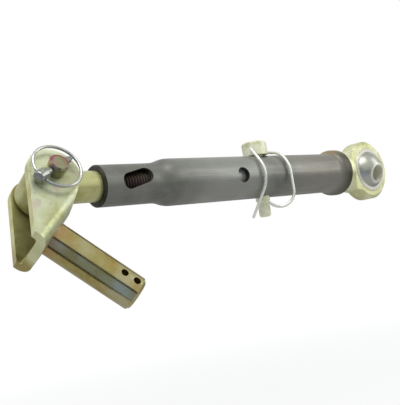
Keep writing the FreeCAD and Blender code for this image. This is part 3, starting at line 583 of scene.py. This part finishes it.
# The yoke: one steel plate in yellow zinc, punched and bent to two ears and a web. Its cut edges
# are rounded off. The near ear looks along ear_way, and the web looks along web_way.
ear_way, web_way = (0, -0.891, 0.454), (0.649, -0.345, -0.678)
yoke_zinc = steel("yoke_zinc", [(0.44, 0.46, 0.22), (0.52, 0.55, 0.33), (0.56, 0.60, 0.41),
                                (0.54, 0.49, 0.37), (0.46, 0.50, 0.39)],
                  0.55, 0.36, cloud=34, grain=(220, 220, 220), bump=0.03, stain=(0.72, 0.66, 0.36),
                  stain_size=30, stain_share=0.45)
yoke_edge = steel("yoke_edge", [(0.52, 0.49, 0.19), (0.64, 0.62, 0.28), (0.72, 0.70, 0.38)],
                  0.5, 0.36, cloud=60, grain=(260, 260, 260), bump=0.05, stain=(0.7, 0.6, 0.3),
                  stain_size=50, stain_share=0.5)
# Painted light and shade on the cut edge: a pale painted highlight at the web's upper end, by the
# near ear, and dark brown painted shade at its lower end.
tinge(yoke_edge, (0.80, 0.84, 0.56), 0.5, (ear_way, -0.011, -0.004), ((0, 0, -1), 0.030, 0.036))
tinge(yoke_edge, (0.30, 0.22, 0.055), 0.75, ((-0.7, 0.5, -0.5), 0.3385, 0.3465),
      ((0, 0, -1), 0.035, 0.055))
# Painted shade: the plate's inner side between the ears is painted darker than its outer side.
yoke_inside_painted_shade = steel("yoke_inside_painted_shade", [(0.20, 0.19, 0.06), (0.32, 0.31, 0.12), (0.38, 0.37, 0.20)],
                    0.5, 0.40, cloud=40, grain=(220, 220, 220), bump=0.03, stain=(0.6, 0.5, 0.3),
                    stain_size=36, stain_share=0.8)


def yoke_face(centre, normal):
    # 0 is the plate's outer side, 1 a cut edge and 2 its inner side between the ears, painted dark
    # as painted shade.
    ear, web = Vector(ear_way), Vector(web_way)
    ear_tops, square, cut_tilt, web_tilt = -0.27, 0.97, 0.12, 0.02
    across, down = normal.dot(ear), normal.dot(web)
    outward = across * centre.dot(ear) > 0
    if abs(normal.dot(ear.cross(web))) > cut_tilt:
        return 1
    if down > web_tilt or (outward and abs(across) > square):
        return 0
    if outward:
        return 1
    return 2 if abs(across) > square or centre.dot(web) > ear_tops else 1


# Painted light: the near ear is painted paler at its top, which lifts the shadow and the dark
# reflection that fall there.
tinge(yoke_zinc, (0.74, 0.78, 0.54), 0.6, ((-0.6, 0, 0.8), 0.266, 0.276))
dress("yoke", "yoke", [yoke_zinc, yoke_edge, yoke_inside_painted_shade], yoke_face,
      rounding=0.0011)

# The link pin: turned bar in gold zinc, riveted into the web and cross-drilled twice for a linch
# pin. It is more orange near the web.
gold_zinc = steel("gold_zinc", [(0.28, 0.21, 0.065), (0.40, 0.34, 0.13), (0.46, 0.43, 0.25)],
                  0.95, 0.17, cloud=26, grain=(90, 90, 90), bump=0.02, spread=0.05,
                  stain=(0.8, 0.55, 0.25), stain_size=36, stain_share=0.8)
tinge(gold_zinc, (0.42, 0.20, 0.11), 0.5, ([-part for part in web_way], 0.238, 0.252))
dress("link_pin", "yoke", [gold_zinc])

# The pivot pin: a headed, turned pin in gold zinc through both ears and the rod's eye. A part of
# its end's rim is tinged pink.
pivot_zinc = steel("pivot_zinc", [(0.27, 0.24, 0.13), (0.33, 0.31, 0.19), (0.38, 0.24, 0.20)],
                   0.85, 0.22, cloud=60, grain=(200, 200, 200), bump=0.04, spread=0.06)
tinge(pivot_zinc, (0.34, 0.07, 0.12), 0.9, (ear_way, 0.0325, 0.0335),
      ((-0.4314, 0, 0), ear_way, 0.0048, 0.0064), ((0.35, 0.42, 0.83), -0.1535, -0.1500))
dress("pivot_pin", "yoke", [pivot_zinc])

# The linch pin: a short turned steel pin in bright zinc, with a thick head. It goes through the
# pivot pin's end and keeps it in the yoke.
linch_zinc = steel("linch_zinc", [(0.24, 0.25, 0.22), (0.36, 0.37, 0.33)], 0.95, 0.16, cloud=90,
                   grain=(500, 500, 500), bump=0.03)
dress("linch_pin", "yoke", [linch_zinc])

# The linch ring: one bent spring wire in bright zinc. Its ends sit in the linch pin's head, where
# it swings, and it clips round the pivot pin's end.
ring_wire = steel("ring_wire", [(0.40, 0.41, 0.38), (0.55, 0.56, 0.52)], 0.9, 0.2, cloud=80,
                  grain=(900, 900, 900), bump=0.02)
dress("linch_ring", "ring", [ring_wire])

# The picture is shown as it is lit.
bpy.context.scene.view_settings.view_transform = "Standard"
